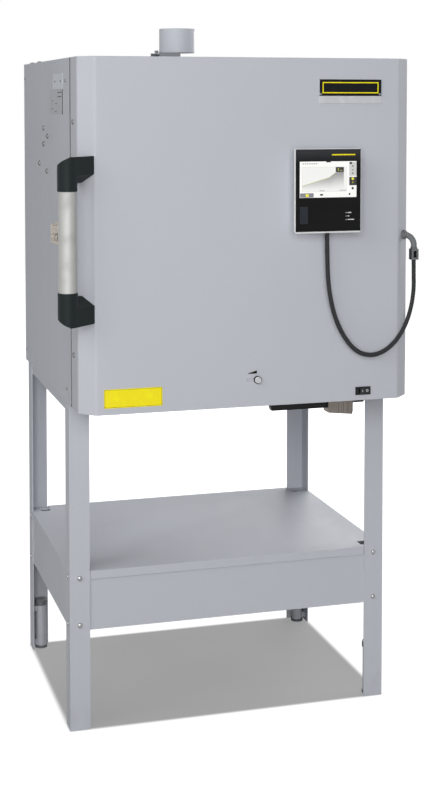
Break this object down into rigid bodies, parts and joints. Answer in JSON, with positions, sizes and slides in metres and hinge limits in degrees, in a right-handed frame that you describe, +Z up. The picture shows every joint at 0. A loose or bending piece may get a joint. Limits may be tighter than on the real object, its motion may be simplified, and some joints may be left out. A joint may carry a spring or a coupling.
{
  "type": "chamber kiln",
  "caption": "Front-loading chamber kiln on an angle-steel stand: brick-lined chamber, side-hinged door with tube handle and touch controller, flue stub with damper, lower shelf.",
  "frame": {"origin": "on the floor, at the bottom centre of the bounding box without the conduit", "axes": "+Z up, the door faces -Y, +X to the right of someone who faces the door"},
  "size_m": [0.7817, 0.7702, 1.458],
  "materials": {
    "casing_paint": "satin",
    "stand_paint": "satin",
    "zinc_steel": "satin",
    "lock_chrome": "satin",
    "stainless": "satin",
    "heating_wire": "matte",
    "insulating_brick": "matte",
    "fibre_board": "matte",
    "silicon_carbide": "matte",
    "white_ceramic": "satin",
    "satin_aluminium": "satin",
    "black_cast": "matte",
    "black_plastic": "matte",
    "conduit_grey": "matte",
    "housing_silver": "satin",
    "screen_glass": "gloss",
    "flap_plastic": "satin",
    "plate_black": "satin"
  },
  "bodies": {
    "kiln": {"apron_bolts": "zinc_steel", "aprons_front_rear": "stand_paint", "aprons_left_right": "stand_paint", "brick_floor": "insulating_brick", "brick_left": "insulating_brick", "brick_rear": "insulating_brick", "brick_right": "insulating_brick", "brick_roof": "insulating_brick", "door_seal": "fibre_board", "element_terminals": "white_ceramic", "floor_pan": "casing_paint", "flue_bracket": "casing_paint", "flue_pipe": "casing_paint", "foot_caps": "black_plastic", "foot_tubes": "stand_paint", "front_frame": "casing_paint", "hearth_plate": "silicon_carbide", "heating_coils_left": "heating_wire", "heating_coils_right": "heating_wire", "hinge_casing_leaves": "zinc_steel", "inlet_guide": "stainless", "insulation_boards": "fibre_board", "leg_front_left": "stand_paint", "leg_front_right": "stand_paint", "leg_rear_left": "stand_paint", "leg_rear_right": "stand_paint", "lock_bracket": "zinc_steel", "rear_cover": "casing_paint", "rear_panel": "casing_paint", "roof_panel": "casing_paint", "shelf_tray": "stand_paint", "side_panel_left": "casing_paint", "side_panel_right": "casing_paint", "thermocouple": "white_ceramic", "top_rails": "stand_paint"},
    "door": {"door_shell": "casing_paint", "door_insulation": "fibre_board", "door_brick": "insulating_brick", "door_frame": "casing_paint", "handle_tube": "satin_aluminium", "handle_bracket_top": "black_cast", "handle_bracket_bottom": "black_cast", "nameplate": "plate_black", "switch_bezel": "black_plastic", "controller_holder": "casing_paint", "controller_housing": "housing_silver", "controller_glass": "screen_glass", "elbow_gland": "black_plastic", "conduit_connector": "black_plastic", "conduit": "conduit_grey", "hinge_door_leaves": "zinc_steel"},
    "air_slider": {"air_slider_plate": "zinc_steel", "air_slider_knob": "lock_chrome"},
    "rocker": {"switch_rocker": "black_plastic"},
    "port_flap": {"usb_flap": "flap_plastic"},
    "damper": {"damper_plate": "zinc_steel", "damper_knob": "black_plastic"},
    "lock_barrel": {"lock_cylinder": "lock_chrome"},
    "inlet_slide": {"inlet_bar": "black_plastic"}
  },
  "joints": [
    {"name": "door_hinge", "type": "hinge", "parent": "kiln", "child": "door", "pos_m": [0.3819, -0.2214, 1.034], "axis": [0, 0, 1], "range_deg": [0, 115]},
    {"name": "air_slider_travel", "type": "slide", "parent": "door", "child": "air_slider", "axis": [1, 0, 0], "range_m": [-0.0194, 0]},
    {"name": "rocker_tilt", "type": "hinge", "parent": "door", "child": "rocker", "pos_m": [0.2574, -0.3264, 0.7037], "axis": [0, 0, 1], "range_deg": [-20, 0]},
    {"name": "port_flap_hinge", "type": "hinge", "parent": "door", "child": "port_flap", "pos_m": [0.1027, -0.367, 1.0698], "axis": [0, 0, -1], "range_deg": [0, 110]},
    {"name": "damper_slide", "type": "slide", "parent": "kiln", "child": "damper", "axis": [-1, 0, 0], "range_m": [0, 0.025]},
    {"name": "lock_turn", "type": "hinge", "parent": "kiln", "child": "lock_barrel", "pos_m": [-0.3496, -0.1654, 1.02], "axis": [0, 1, 0], "range_deg": [0, 90]},
    {"name": "inlet_slide_travel", "type": "slide", "parent": "kiln", "child": "inlet_slide", "axis": [-1, 0, 0], "range_m": [0, 0.03]}
  ]
}
